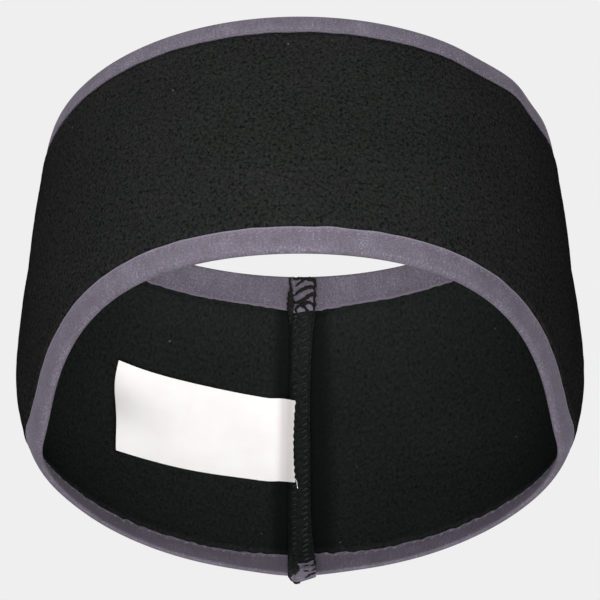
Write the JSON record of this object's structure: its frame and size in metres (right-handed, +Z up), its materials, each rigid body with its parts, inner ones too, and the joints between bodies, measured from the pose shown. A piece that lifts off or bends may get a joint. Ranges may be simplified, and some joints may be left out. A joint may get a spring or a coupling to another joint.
{
  "type": "fleece headband",
  "caption": "Wide ear-warming headband of fleece with both edges bound in elastic tape, closed by a seam at the back.",
  "frame": {"origin": "middle of the head opening, on the head's axis, at the mean height of the lower rim", "axes": "+Z up towards the crown as worn, -Y towards the forehead, +Y towards the back seam, +X and -X towards the ears"},
  "size_m": [0.1783, 0.1723, 0.1103],
  "materials": {
    "fleece": "matte napped polyester fleece",
    "binding_tape": "soft sheen knitted fold-over elastic",
    "woven_label": "smooth satin label ribbon",
    "overlock_thread": "matte textured polyester thread",
    "sewing_thread": "soft sheen polyester thread"
  },
  "bodies": {
    "root": {"fleece_band": "fleece", "lower_binding": "binding_tape", "upper_binding": "binding_tape", "care_label": "woven_label"}
  },
  "joints": []
}
